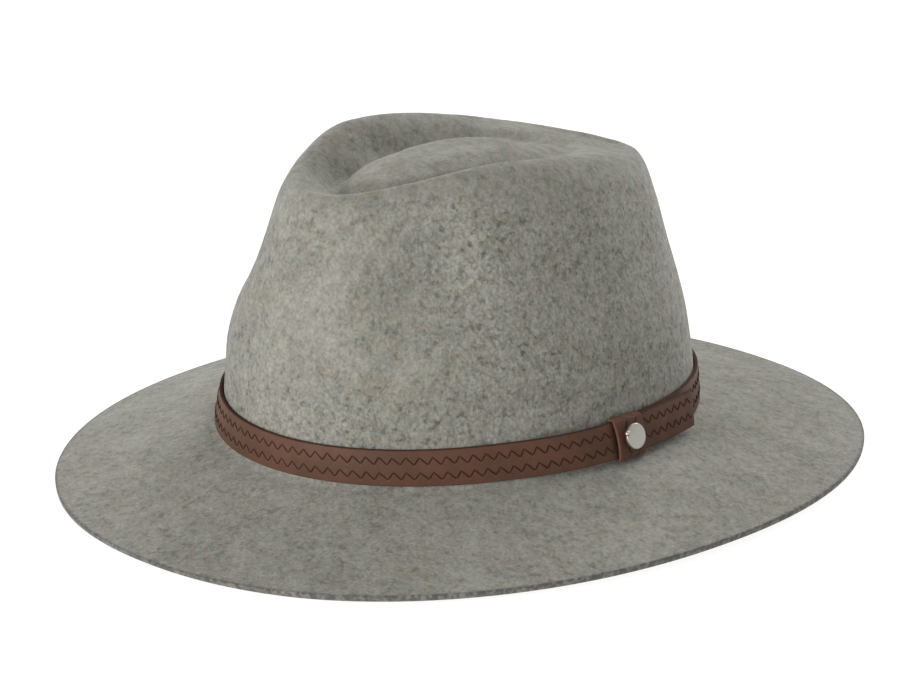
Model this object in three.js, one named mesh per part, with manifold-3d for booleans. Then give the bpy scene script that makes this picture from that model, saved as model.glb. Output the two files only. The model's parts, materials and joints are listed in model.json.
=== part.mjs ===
// A felt safari hat: one blocked felt body with a teardrop crown and a down-sloping brim, a leather strap
// wound round the crown, a leather keeper loop that holds the strap's free end, and a metal stud on it.
// Millimetres, +Z up. The hat rests on its brim: the origin is under its middle, the front faces -Y and
// the wearer's left, where the stud is, is +X. Angles run from +X towards the back.
import * as THREE from "three";
import Module from "manifold-3d";
import { mergeVertices } from "three/addons/utils/BufferGeometryUtils.js";

const wasm = await Module();
wasm.setup();

const FELT_THICKNESS = 2.4;
const POINTS_ROUND = 72;
const WELD_DISTANCE = 1e-4;
const ROWS_PER_SECTION = 2;

// The brim's edge is an oval that sinks under the table's level at front and back by edgeSink, where its
// underside is pressed flat, and rises at the sides by sideLift. Rows are shares of the way to the crown.
const BRIM = {
  halfLength: 171,
  halfWidth: 146.3,
  power: 2.12,
  sideLift: 2.9,
  edgeSink: 0.7,
  easing: 0.14,
  rows: [0, 0.036, 0.16, 0.31, 0.46, 0.6, 0.74, 0.88],
};

// Crown sections, from the brim to the top. Each is an oval that reaches front, back and side from the
// centre. Its power is blunt in the front half and point in the back half: 2 is round and less is more
// pointed. It is highest at CROWN_PEAK along the hat and has fallen by drop 100 mm away. The rows of the
// rim have a peak of their own and fall off more steadily, by the power fall.
const CROWN_CENTRE = -1.8;
const CROWN_PEAK = -35;
const RIM = { peak: -27, fall: 1.5 };
const CROWN_SECTIONS = [
  { at: "brim root", front: 109.3, back: 109, side: 93.5, blunt: 2, point: 1.94, top: 20.8, drop: 2.1 },
  { at: "fold", front: 105.1, back: 104.7, side: 89.1, blunt: 2, point: 1.94, top: 22.1, drop: 2.1 },
  { at: "crown root", front: 103.6, back: 103.2, side: 87.6, blunt: 2, point: 1.94, top: 24.4, drop: 2.1 },
  { at: "strap top", front: 102.3, back: 101.7, side: 83.7, blunt: 2, point: 2.03, top: 38.6, drop: 2.1 },
  { at: "lower wall", front: 101.7, back: 98.4, side: 80.3, blunt: 2, point: 2, top: 62, drop: 1 },
  { at: "upper wall", front: 95.5, back: 93, side: 69, blunt: 1.97, point: 2, top: 92, drop: 3 },
  { at: "wall top", front: 86.5, back: 90.2, side: 58, blunt: 1.95, point: 1.95, top: 121.5, drop: 9.5 },
  { at: "shoulder", front: 82.5, back: 89.2, side: 49, blunt: 1.95, point: 1.9, top: 133.7, drop: 16, ...RIM },
  { at: "crest", front: 79.5, back: 84, side: 41.5, blunt: 1.95, point: 1.63, top: 137.5, drop: 20.4, ...RIM },
  { at: "inner wall", front: 72.5, back: 69, side: 34.5, blunt: 1.95, point: 1.5, top: 131.5, drop: 13, ...RIM },
  { at: "groove", front: 62, back: 54, side: 27.5, blunt: 2, point: 1.5, top: 122.5, drop: 3.5 },
  { at: "pillow side", front: 53.5, back: 40, side: 19.5, blunt: 2, point: 1.9, top: 128.7, drop: 11 },
  { at: "pillow top", front: 38, back: 24, side: 11, blunt: 2, point: 2, top: 132.3, drop: 9 },
];
const CROWN_TOP = 132;

// Pinches in the front of the crown: bearing from the front towards the wearer's left in degrees, height of
// the deepest point, depth, and the reach across in degrees and up and down in millimetres.
const PINCHES = [
  { at: "left", bearing: 36, height: 107, depth: 9, across: 13, reach: 20 },
  { at: "right", bearing: -36, height: 107, depth: 9, across: 13, reach: 20 },
];

// Strap: its inner face at the lower and upper edge, where it lies on the felt. It is wound once round and
// its free end runs on over its first end, outside it. The tip stands off and sinks a little.
const STRAP = {
  lower: { front: 104, back: 103.6, side: 88, point: 1.94 },
  upper: { front: 102.8, back: 102.2, side: 84.2, point: 2.03 },
  height: 14,
  thickness: 1.4,
  layerGap: 0.3,
  lowerEdge: { top: 24, drop: 2.1 },
  firstEnd: 7.5,
  freeEnd: 388.8,
  climb: [328, 352],
  tip: { from: 367.5, lift: 2, sink: 0.5 },
  steps: 96,
};

// Keeper loop round the strap's free end, at the wearer's left. Its back wall lies on the felt in line with
// the strap's first end, and its front wall is crowned. The space in it is cut past both ends.
const KEEPER = {
  angle: 3,
  width: 14.8,
  frontWall: 0.8,
  backWall: 1,
  edgeWall: 0.6,
  corner: 0.6,
  crown: 1.3,
  spaceCorner: 0.1,
  spaceCrown: 1,
  spaceWidth: 18,
  clearance: 0.3,
  faceRows: 6,
  steps: 4,
};

const STUD = {
  angle: 2.5,
  height: 7.9,
  discRadius: 5.1,
  discThickness: 1.4,
  edgeRound: 0.35,
  postRadius: 2,
  postLength: 1.5,
  pegRadius: 1,
  pegTurn: 204,
  pegLevel: 2.7,
  pegSides: 16,
  seatGap: 0.3,
  sides: 40,
};

const secondLayer = STRAP.thickness + STRAP.layerGap;

const radians = THREE.MathUtils.degToRad;
const { lerp, smoothstep } = THREE.MathUtils;

// Height of a line round the crown that falls away from the peak along an arc.
function arcHeight(line, y) {
  const { peak = CROWN_PEAK, fall = 2 } = line;
  return line.top - line.drop * (Math.abs(y - peak) / 100) ** fall;
}

function superOval(angle, halfLength, halfWidth, power) {
  const bend = (value) => Math.sign(value) * Math.abs(value) ** (2 / power);
  return { x: halfWidth * bend(Math.cos(angle)), y: halfLength * bend(Math.sin(angle)) };
}

function sectionPoint(section, angle) {
  const ahead = Math.sin(angle) < 0;
  const reach = ahead ? section.front : section.back;
  const power = ahead ? section.blunt : section.point;
  const oval = superOval(angle, reach, section.side, power);
  const y = CROWN_CENTRE + oval.y;
  return new THREE.Vector3(oval.x, y, arcHeight(section, y));
}

function brimEdgePoint(angle) {
  const { x, y } = superOval(angle, BRIM.halfLength, BRIM.halfWidth, BRIM.power);
  const lift = BRIM.sideLift * Math.cos(angle) ** 2 - BRIM.edgeSink;
  return new THREE.Vector3(x, y, FELT_THICKNESS + lift);
}

function pinched(point) {
  const moved = point.clone();
  const bearing = THREE.MathUtils.radToDeg(Math.atan2(point.x, -point.y));
  for (const pinch of PINCHES) {
    const across = (bearing - pinch.bearing) / pinch.across;
    const up = (point.z - pinch.height) / pinch.reach;
    const push = pinch.depth * Math.exp(-across * across - up * up);
    moved.x -= push * Math.sin(radians(pinch.bearing));
    moved.y += push * Math.cos(radians(pinch.bearing));
  }
  return moved;
}

// The felt's outer skin at one angle, from the brim's edge to near the middle of the crown.
function skinProfile(angle) {
  const root = sectionPoint(CROWN_SECTIONS[0], angle);
  const edge = brimEdgePoint(angle);
  const brim = BRIM.rows.map((share) => {
    const point = edge.clone().lerp(root, share);
    const eased = share * (1 - BRIM.easing) + share * share * BRIM.easing;
    point.z = lerp(edge.z, root.z, eased);
    return point;
  });
  const knots = CROWN_SECTIONS.map((section) => sectionPoint(section, angle));
  const path = new THREE.CatmullRomCurve3(knots, false, "centripetal");
  const count = (knots.length - 1) * ROWS_PER_SECTION;
  const crown = [];
  for (let row = 0; row <= count; row += 1) {
    crown.push(pinched(path.getPoint(row / count)));
  }
  return [...brim, ...crown];
}

// A closed wall: the outer skin, the same skin moved inwards by the felt's thickness, and the brim's edge.
function feltGeometry() {
  const skin = [];
  for (let i = 0; i < POINTS_ROUND; i += 1) {
    skin.push(skinProfile((i / POINTS_ROUND) * 2 * Math.PI));
  }
  const rows = skin[0].length;
  const centre = new THREE.Vector3(0, CROWN_CENTRE, CROWN_TOP);
  const centreInside = centre.clone().setZ(CROWN_TOP - FELT_THICKNESS);
  const at = (i, row) => (row < rows ? skin[(i + POINTS_ROUND) % POINTS_ROUND][row] : centre);

  const inside = skin.map((profile, i) =>
    profile.map((point, row) => {
      const round = at(i + 1, row).clone().sub(at(i - 1, row));
      const along = at(i, row + 1).clone().sub(at(i, Math.max(row - 1, 0)));
      const inward = along.cross(round).normalize();
      const moved = point.clone().addScaledVector(inward, FELT_THICKNESS);
      return moved.setZ(Math.max(moved.z, 0));
    }),
  );

  const positions = [];
  const triangle = (a, b, c) => positions.push(...a, ...b, ...c);
  const quad = (a, b, c, d) => {
    triangle(a, b, c);
    triangle(a, c, d);
  };
  for (let i = 0; i < POINTS_ROUND; i += 1) {
    const k = (i + 1) % POINTS_ROUND;
    for (let row = 0; row < rows - 1; row += 1) {
      quad(skin[i][row], skin[k][row], skin[k][row + 1], skin[i][row + 1]);
      quad(inside[i][row + 1], inside[k][row + 1], inside[k][row], inside[i][row]);
    }
    quad(inside[i][0], inside[k][0], skin[k][0], skin[i][0]);
    triangle(skin[i][rows - 1], skin[k][rows - 1], centre);
    triangle(centreInside, inside[k][rows - 1], inside[i][rows - 1]);
  }
  return fromPositions(positions);
}

function fromPositions(positions) {
  const geometry = new THREE.BufferGeometry();
  geometry.setAttribute("position", new THREE.Float32BufferAttribute(positions, 3));
  return geometry;
}

// A point near the strap: degrees round the crown, distance out from the face that lies on the felt, and
// height above the strap's lower edge.
function strapPoint(degrees, out, up) {
  const angle = radians(degrees);
  const between = (name) => lerp(STRAP.lower[name], STRAP.upper[name], up / STRAP.height);
  const ahead = Math.sin(angle) < 0;
  const halfLength = between(ahead ? "front" : "back") + out;
  const oval = superOval(angle, halfLength, between("side") + out, ahead ? 2 : between("point"));
  const y = CROWN_CENTRE + oval.y;
  return new THREE.Vector3(oval.x, y, arcHeight(STRAP.lowerEdge, y) + up);
}

// How much of the tip's lift and sink is reached.
function tipShare(degrees) {
  const { from } = STRAP.tip;
  return Math.max((degrees - from) / (STRAP.freeEnd - from), 0) ** 2;
}

// How far out the strap's inner face lies: on the felt, then over its own first end once it has come round.
function strapOut(degrees) {
  return secondLayer * smoothstep(degrees, ...STRAP.climb) + STRAP.tip.lift * tipShare(degrees);
}

// A solid through a row of outlines with equal numbers of points.
function loft(outlines) {
  const positions = [];
  const count = outlines[0].length;
  const triangle = (a, b, c) => positions.push(...a, ...b, ...c);
  for (let i = 0; i < outlines.length - 1; i += 1) {
    for (let j = 0; j < count; j += 1) {
      const k = (j + 1) % count;
      triangle(outlines[i][j], outlines[i + 1][k], outlines[i + 1][j]);
      triangle(outlines[i][j], outlines[i][k], outlines[i + 1][k]);
    }
  }
  const last = outlines.length - 1;
  for (let j = 1; j < count - 1; j += 1) {
    triangle(outlines[0][0], outlines[0][j + 1], outlines[0][j]);
    triangle(outlines[last][0], outlines[last][j], outlines[last][j + 1]);
  }
  return fromPositions(positions);
}

function strapGeometry() {
  const outlines = [];
  for (let step = 0; step <= STRAP.steps; step += 1) {
    const degrees = lerp(STRAP.firstEnd, STRAP.freeEnd, step / STRAP.steps);
    const inner = strapOut(degrees);
    const outer = inner + STRAP.thickness;
    const low = -STRAP.tip.sink * tipShare(degrees);
    const high = low + STRAP.height;
    outlines.push([
      strapPoint(degrees, inner, low),
      strapPoint(degrees, inner, high),
      strapPoint(degrees, outer, high),
      strapPoint(degrees, outer, low),
    ]);
  }
  return loft(outlines);
}

// The keeper as a whole and the space in it: two bars that follow the strap, with their corners cut and
// their outer faces crowned.
const keeperSpace = {
  inner: secondLayer - KEEPER.clearance,
  outer: secondLayer + STRAP.thickness + KEEPER.clearance,
  low: -KEEPER.clearance,
  high: STRAP.height + KEEPER.clearance,
  corner: KEEPER.spaceCorner,
  crown: KEEPER.spaceCrown,
  width: KEEPER.spaceWidth,
};
const keeperWhole = {
  inner: keeperSpace.inner - KEEPER.backWall,
  outer: keeperSpace.outer + KEEPER.frontWall,
  low: keeperSpace.low - KEEPER.edgeWall,
  high: keeperSpace.high + KEEPER.edgeWall,
  corner: KEEPER.corner,
  crown: KEEPER.crown,
  width: KEEPER.width,
};

function faceOut(bar, up) {
  const share = (up - bar.low) / (bar.high - bar.low);
  return bar.outer + bar.crown * (1 - (2 * share - 1) ** 2);
}

function keeperBar(bar) {
  const { inner, outer, low, high, corner } = bar;
  const half = THREE.MathUtils.radToDeg(bar.width / 2 / STRAP.lower.front);
  const outlines = [];
  for (let step = 0; step <= KEEPER.steps; step += 1) {
    const degrees = KEEPER.angle + lerp(-half, half, step / KEEPER.steps);
    const face = [];
    for (let row = 0; row <= KEEPER.faceRows; row += 1) {
      const up = lerp(high - corner, low + corner, row / KEEPER.faceRows);
      face.push(strapPoint(degrees, faceOut(bar, up), up));
    }
    outlines.push([
      strapPoint(degrees, inner, low + corner),
      strapPoint(degrees, inner, high - corner),
      strapPoint(degrees, inner + corner, high),
      strapPoint(degrees, outer - corner, high),
      ...face,
      strapPoint(degrees, outer - corner, low),
      strapPoint(degrees, inner + corner, low),
    ]);
  }
  return loft(outlines);
}

function toManifold(geometry) {
  geometry.deleteAttribute("normal");
  geometry.deleteAttribute("uv");
  const merged = mergeVertices(geometry, WELD_DISTANCE);
  const vertProperties = new Float32Array(merged.attributes.position.array);
  const triVerts = new Uint32Array(merged.index.array);
  return new wasm.Manifold(new wasm.Mesh({ numProp: 3, vertProperties, triVerts }));
}

function fromManifold(solid) {
  const { vertProperties, triVerts } = solid.getMesh();
  const geometry = new THREE.BufferGeometry();
  geometry.setAttribute("position", new THREE.BufferAttribute(vertProperties, 3));
  geometry.setIndex(new THREE.BufferAttribute(triVerts, 1));
  return geometry;
}

function keeperGeometry() {
  return fromManifold(toManifold(keeperBar(keeperWhole)).subtract(toManifold(keeperBar(keeperSpace))));
}

// Stud: a flat disc on a short post, with a small round peg at the disc's edge. It is made along its own
// axis, from the keeper's face outwards.
function studGeometry() {
  const { discRadius, discThickness, edgeRound, postRadius, postLength } = STUD;
  const face = postLength + discThickness;
  const profile = [
    [0, 0],
    [postRadius, 0],
    [postRadius, postLength],
    [discRadius - edgeRound, postLength],
    [discRadius, postLength + edgeRound],
    [discRadius, face - edgeRound],
    [discRadius - edgeRound, face],
    [0, face],
  ].map(([radius, along]) => new THREE.Vector2(radius, along));
  const disc = new THREE.LatheGeometry(profile, STUD.sides);
  const peg = new THREE.SphereGeometry(STUD.pegRadius, STUD.pegSides, STUD.pegSides / 2);
  const turn = radians(STUD.pegTurn);
  peg.translate(discRadius * Math.cos(turn), STUD.pegLevel, discRadius * Math.sin(turn));
  return fromManifold(toManifold(disc).add(toManifold(peg)));
}

// Turns the stud's axis square to the keeper's front face and seats it there.
function placeStud(stud) {
  const out = faceOut(keeperWhole, STUD.height);
  const middle = strapPoint(STUD.angle, out, STUD.height);
  const round = strapPoint(STUD.angle + 1, out, STUD.height).sub(middle).normalize();
  const up = strapPoint(STUD.angle, out, STRAP.height).sub(middle).normalize();
  const outward = round.clone().cross(up).normalize();
  const basis = new THREE.Matrix4().makeBasis(round, outward, round.clone().cross(outward));
  stud.quaternion.setFromRotationMatrix(basis);
  stud.position.copy(middle).addScaledVector(outward, STUD.seatGap);
}

function part(name, geometry, color, roughness, metalness) {
  const mesh = new THREE.Mesh(geometry, new THREE.MeshStandardMaterial({ color, roughness, metalness }));
  mesh.name = name;
  return mesh;
}

const hat = new THREE.Group();
const stud = part("stud", studGeometry(), 0xc9c6bf, 0.22, 1);
placeStud(stud);
hat.add(
  part("felt_body", feltGeometry(), 0x8a867e, 0.95, 0),
  part("band_strap", strapGeometry(), 0x5d4337, 0.5, 0),
  part("keeper_loop", keeperGeometry(), 0x6a4538, 0.5, 0),
  stud,
);

export default hat;
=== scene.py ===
import bisect
import json
import math

import bpy
from mathutils import Matrix, Vector, noise

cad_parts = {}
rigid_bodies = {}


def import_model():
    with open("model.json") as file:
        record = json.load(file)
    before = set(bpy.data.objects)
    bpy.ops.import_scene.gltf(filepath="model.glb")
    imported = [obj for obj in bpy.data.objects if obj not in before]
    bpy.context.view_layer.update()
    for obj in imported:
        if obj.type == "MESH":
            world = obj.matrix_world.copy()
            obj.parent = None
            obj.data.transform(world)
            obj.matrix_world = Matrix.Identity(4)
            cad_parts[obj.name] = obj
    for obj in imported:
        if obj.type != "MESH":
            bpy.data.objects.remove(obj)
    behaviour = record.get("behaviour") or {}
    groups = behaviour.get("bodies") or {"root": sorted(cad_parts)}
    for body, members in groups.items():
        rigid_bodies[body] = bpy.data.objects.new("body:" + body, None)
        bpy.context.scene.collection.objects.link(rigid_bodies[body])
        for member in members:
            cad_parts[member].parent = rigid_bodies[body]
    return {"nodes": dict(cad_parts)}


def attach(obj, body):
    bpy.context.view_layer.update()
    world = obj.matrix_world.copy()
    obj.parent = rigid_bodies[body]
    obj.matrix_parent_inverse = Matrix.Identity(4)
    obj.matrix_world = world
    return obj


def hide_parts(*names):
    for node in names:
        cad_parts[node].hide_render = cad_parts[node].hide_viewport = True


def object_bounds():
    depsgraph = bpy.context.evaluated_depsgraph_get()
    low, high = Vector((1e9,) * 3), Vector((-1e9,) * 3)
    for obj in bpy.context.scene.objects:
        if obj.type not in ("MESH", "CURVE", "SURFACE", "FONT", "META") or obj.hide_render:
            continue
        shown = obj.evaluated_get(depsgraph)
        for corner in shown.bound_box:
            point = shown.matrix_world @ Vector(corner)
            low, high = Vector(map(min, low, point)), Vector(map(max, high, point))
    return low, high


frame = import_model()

# Safari hat: a felt body, a leather strap with zigzag stitching, its keeper loop and a stud.
# Metres, +Z up. The front faces -Y, and the wearer's left, where the stud is, is +X.
cadLow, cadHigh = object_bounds()
scene = bpy.context.scene
noise.seed_set(5)                          # without a seed its vectors change from run to run


# Small helpers for selecting, editing and finishing pieces

def selectOnly(piece):
    bpy.ops.object.select_all(action="DESELECT")
    piece.select_set(True)
    bpy.context.view_layer.objects.active = piece


def editMesh(piece, selectMode="FACE"):
    selectOnly(piece)
    bpy.ops.object.mode_set(mode="EDIT")
    bpy.ops.mesh.select_mode(type=selectMode)
    bpy.ops.mesh.select_all(action="DESELECT")


def stopEditing():
    bpy.ops.object.mode_set(mode="OBJECT")


# Selects vertices by their place, in edit mode
def pickVertices(piece, wanted):
    bpy.ops.object.mode_set(mode="OBJECT")
    mesh = piece.data
    for vertex in mesh.vertices:
        vertex.select = wanted(vertex.co)
    for part in (*mesh.edges, *mesh.polygons):
        part.select = all(mesh.vertices[i].select for i in part.vertices)
    bpy.ops.object.mode_set(mode="EDIT")


# Selects faces by their centre and normal, in edit mode
def pickFaces(piece, wanted):
    bpy.ops.object.mode_set(mode="OBJECT")
    for part in (*piece.data.vertices, *piece.data.edges):
        part.select = False
    for face in piece.data.polygons:
        face.select = wanted(face.center, face.normal)
    bpy.ops.object.mode_set(mode="EDIT")


def applyModifier(piece, kind, **settings):
    selectOnly(piece)
    modifier = piece.modifiers.new(kind.lower(), kind)
    for name, value in settings.items():
        setattr(modifier, name, value)
    bpy.ops.object.modifier_apply(modifier=modifier.name)


def settle(piece):
    selectOnly(piece)
    bpy.ops.object.transform_apply(location=True, rotation=True, scale=True)


def finishPiece(piece, node, material):
    piece.data.materials.clear()
    piece.data.materials.append(material)
    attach(piece, "root")
    if node:
        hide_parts(node)


# The strap's run round the crown, as it lies on the felt

strapRun = {
    "lower": {"front": 0.104, "back": 0.1036, "side": 0.088, "power": 1.94},
    "upper": {"front": 0.1028, "back": 0.1022, "side": 0.0842, "power": 2.03},
    "height": 0.014,
    "thickness": 0.0014,
    "secondLayer": 0.0017,                 # how far out the free end lies over the first end
    # the lower edge sinks along an arc away from the crown's peak, by edgeDrop at edgeSpan from it
    "edgeTop": 0.024, "edgeDrop": 0.0021, "edgeSpan": 0.1,
    "crownCentre": -0.0018, "crownPeak": -0.035,
    "firstEnd": 7.5, "freeEnd": 388.8,     # degrees from the wearer's left towards the back
    "climbFrom": 328.0, "climbTo": 352.0,
    "tipFrom": 367.5, "tipLift": 0.002, "tipSink": 0.0005,
}


def mix(a, b, share):
    return a + (b - a) * share


def smoothStep(value, low, high):
    share = min(max((value - low) / (high - low), 0.0), 1.0)
    return share * share * (3 - 2 * share)


def bend(value, power):
    return math.copysign(abs(value) ** (2 / power), value)


# A point near the strap: degrees round the crown, distance out from the felt, height above the lower edge
def strapPoint(degrees, out, up):
    run = strapRun
    angle = math.radians(degrees)
    ahead = math.sin(angle) < 0

    def between(name):
        return mix(run["lower"][name], run["upper"][name], up / run["height"])

    power = 2 if ahead else between("power")
    x = (between("side") + out) * bend(math.cos(angle), power)
    y = run["crownCentre"] + (between("front" if ahead else "back") + out) * bend(math.sin(angle), power)
    z = run["edgeTop"] - run["edgeDrop"] * ((y - run["crownPeak"]) / run["edgeSpan"]) ** 2 + up
    return Vector((x, y, z))


# The free end's tip stands off and sinks a little
def tipShare(degrees):
    return max((degrees - strapRun["tipFrom"]) / (strapRun["freeEnd"] - strapRun["tipFrom"]), 0) ** 2


def layerOut(degrees):
    climbed = smoothStep(degrees, strapRun["climbFrom"], strapRun["climbTo"])
    return strapRun["secondLayer"] * climbed + strapRun["tipLift"] * tipShare(degrees)


# Distance along the strap's face at every half degree, so that a length can be laid round the crown
runSteps = [-2 + 0.5 * step for step in range(800)]
runLengths = [0.0]
for before, after in zip(runSteps, runSteps[1:]):
    half = strapRun["height"] / 2
    move = strapPoint(after, layerOut(after), half) - strapPoint(before, layerOut(before), half)
    runLengths.append(runLengths[-1] + move.length)


def lengthAt(degrees):
    i = min(max(bisect.bisect_right(runSteps, degrees) - 1, 0), len(runSteps) - 2)
    return mix(runLengths[i], runLengths[i + 1], (degrees - runSteps[i]) / (runSteps[i + 1] - runSteps[i]))


def degreesAt(length):
    i = min(max(bisect.bisect_right(runLengths, length) - 1, 0), len(runLengths) - 2)
    return mix(runSteps[i], runSteps[i + 1], (length - runLengths[i]) / (runLengths[i + 1] - runLengths[i]))


# Leather pieces are made flat, as seen from the front: X along the strap, -Y out, Z up. Their flat places
# are kept as a UV map in metres, and then they are laid round the crown.
def layOnStrap(piece, level=None):
    mesh = piece.data
    lay = mesh.uv_layers.new(name="lay")
    for loop in mesh.loops:
        flat = mesh.vertices[loop.vertex_index].co
        lay.data[loop.index].uv = (flat.x, flat.z)
    for vertex in mesh.vertices:
        degrees = degreesAt(vertex.co.x)
        out = layerOut(degrees) if level is None else level
        up = vertex.co.z - strapRun["tipSink"] * tipShare(degrees)
        vertex.co = strapPoint(degrees, out - vertex.co.y, up)
    mesh.update()


# Shader helpers

def addNode(tree, kind, x, y, inputs=None, **settings):
    node = tree.nodes.new(kind)
    node.location = (x, y)
    for name, value in settings.items():
        setattr(node, name, value)
    for name, value in (inputs or {}).items():
        if isinstance(value, bpy.types.NodeSocket):
            tree.links.new(value, node.inputs[name])
        else:
            node.inputs[name].default_value = value
    return node


# A group's inputs with their usual values, where None is a vector, and its outputs
def newGroup(name, inputs, outputs):
    group = bpy.data.node_groups.new(name, "ShaderNodeTree")
    for label, value in inputs.items():
        kind = "Vector" if value is None else "Color" if isinstance(value, tuple) else "Float"
        socket = group.interface.new_socket(name=label, in_out="INPUT", socket_type="NodeSocket" + kind)
        if value is not None:
            socket.default_value = value
    for label in outputs:
        kind = "Color" if label == "Color" else "Float"
        group.interface.new_socket(name=label, in_out="OUTPUT", socket_type="NodeSocket" + kind)
    start = addNode(group, "NodeGroupInput", -1400, 0)
    end = addNode(group, "NodeGroupOutput", 900, 0)
    return group, start.outputs, end


def useGroup(tree, group, x, y, inputs):
    return addNode(tree, "ShaderNodeGroup", x, y, inputs, node_tree=group)


def feed(tree, node, values):
    for label, value in values.items():
        tree.links.new(value, node.inputs[label])


def math2(tree, operation, a, b, x, y, clamp=False):
    node = addNode(tree, "ShaderNodeMath", x, y, {0: a, 1: b}, operation=operation, use_clamp=clamp)
    return node.outputs[0]


def multiply(tree, a, b, x, y):
    return math2(tree, "MULTIPLY", a, b, x, y)


def subtract(tree, a, b, x, y):
    return math2(tree, "SUBTRACT", a, b, x, y)


def invert(tree, value, x, y):             # one less the value
    return math2(tree, "SUBTRACT", 1.0, value, x, y)


def rampBetween(tree, value, low, high, x, y):
    return addNode(tree, "ShaderNodeMapRange", x, y, {"Value": value, "From Min": low, "From Max": high},
                   interpolation_type="SMOOTHSTEP").outputs["Result"]


def noiseAt(tree, vector, scale, x, y, detail=2.0, roughness=0.5, distortion=0.0):
    return addNode(tree, "ShaderNodeTexNoise", x, y, {
        "Vector": vector, "Scale": scale, "Detail": detail, "Roughness": roughness,
        "Distortion": distortion}).outputs["Fac"]


def mixColour(tree, share, a, b, x, y, how="MIX"):
    return addNode(tree, "ShaderNodeMix", x, y, {0: share, 6: a, 7: b}, data_type="RGBA",
                   blend_type=how).outputs[2]


def newMaterial(name, roughness, **constants):
    material = bpy.data.materials.new(name)
    material.use_nodes = True
    tree = material.node_tree
    tree.nodes.clear()
    shader = addNode(tree, "ShaderNodeBsdfPrincipled", 500, 0, {"Roughness": roughness})
    for label, value in constants.items():
        shader.inputs[label.replace("_", " ")].default_value = value
    out = addNode(tree, "ShaderNodeOutputMaterial", 800, 0)
    tree.links.new(shader.outputs[0], out.inputs["Surface"])
    return material, tree, shader


# Curled fibres: thin broken lines where a noise crosses its middle value
def makeFibreGroup():
    group, given, end = newGroup("curledFibres", {
        "Vector": None, "Size": 0.0026, "Thickness": 0.05, "Offset": 0.0}, ("Lines",))
    scale = math2(group, "DIVIDE", 1.0, given["Size"], -1150, -150)
    moved = addNode(group, "ShaderNodeMapping", -1150, 100, {
        "Vector": given["Vector"], "Location": given["Offset"], "Scale": (1.0, 1.0, 0.7)}).outputs[0]
    away = subtract(group, noiseAt(group, moved, scale, -900, 0, 1.0, 0.5, 0.5), 0.5, -650, 0)
    away = math2(group, "ABSOLUTE", away, 0.0, -450, 0)
    line = invert(group, rampBetween(group, away, 0.0, given["Thickness"], -250, 0), 0, 0)
    breaks = noiseAt(group, moved, multiply(group, scale, 1.4, -1050, -300), -900, -300, 1.0)
    held = rampBetween(group, breaks, 0.42, 0.56, -650, -300)
    feed(group, end, {"Lines": multiply(group, line, held, 200, 0)})
    return group


woolLayers = {
    # name: (scale, detail and roughness of the noise, and the two values between which it fades in)
    "clouds": (34.0, 4.0, 0.6, 0.34, 0.66), "tints": (240.0, 3.0, 0.6, 0.38, 0.62),
    "clumps": (190.0, 4.0, 0.6, 0.36, 0.64), "grain": (640.0, 3.0, 0.65, 0.36, 0.64),
    "flecks": (430.0, 2.5, 0.55, 0.34, 0.48), "speckle": (800.0, 2.0, 0.5, 0.2, 0.8),
    # name: (size, thickness, offset) of two sets of fibres
    "dark": ((0.0043, 0.11, 3.7), (0.003, 0.1, 8.1)), "pale": ((0.0038, 0.085, 0.0), (0.0048, 0.085, 5.3)),
    "baseShare": 0.3, "cloudShare": 0.5, "clumpShare": 0.6, "speckleShare": 0.5,
    "fleckLimit": 1.35,                    # flecks are fainter where the clouds are pale
    "grainHeight": 0.6, "fibreHeight": 0.3,
}


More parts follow.
